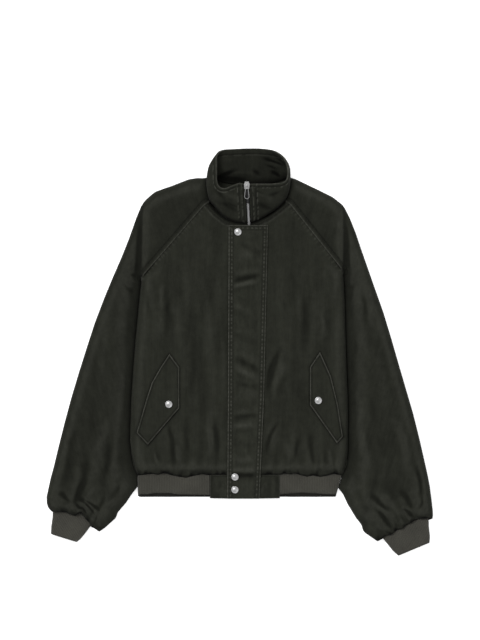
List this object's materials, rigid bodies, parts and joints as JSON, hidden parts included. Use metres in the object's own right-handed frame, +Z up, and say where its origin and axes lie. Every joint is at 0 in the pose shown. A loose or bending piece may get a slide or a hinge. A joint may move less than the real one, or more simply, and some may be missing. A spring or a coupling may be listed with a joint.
{
  "type": "denim jacket",
  "caption": "Zipped bomber-style denim jacket with stand collar, raglan sleeves, storm flap, slanted pocket flaps and knit ribs, laid flat on its back.",
  "frame": {"origin": "on the surface that the jacket lies on, under the middle of its outline", "axes": "+Y runs from the hem towards the collar, +Z points up from the back to the front of the jacket, +X to the right as seen from above"},
  "size_m": [0.8127, 0.8555, 0.0516],
  "materials": {
    "denim": "washed black denim",
    "knit": "rib knit",
    "tape": "woven zip tape",
    "metal": "satin"
  },
  "bodies": {
    "jacket": {"back": "denim", "front_left": "denim", "front_right": "denim", "sleeve_left_front": "denim", "sleeve_left_back": "denim", "sleeve_right_front": "denim", "sleeve_right_back": "denim", "collar_outer": "denim", "collar_inner": "denim", "storm_flap": "denim", "hem_block_left": "denim", "hem_block_right": "denim", "pocket_flap_left": "denim", "pocket_flap_right": "denim", "hem_rib": "knit", "cuff_left": "knit", "cuff_right": "knit", "zip_tape_left": "tape", "zip_tape_right": "tape", "zip_chain": "metal", "zip_slider": "metal", "snap_neck": "metal", "snap_hem_upper": "metal", "snap_hem_lower": "metal", "snap_pocket_left": "metal", "snap_pocket_right": "metal"},
    "pull": {"zip_pull": "metal"}
  },
  "joints": [
    {"name": "pull_swing", "type": "hinge", "parent": "jacket", "child": "pull", "pos_m": [0.0143, 0.34898, 0.0489], "axis": [-1, 0, 0], "range_deg": [0, 150]}
  ]
}
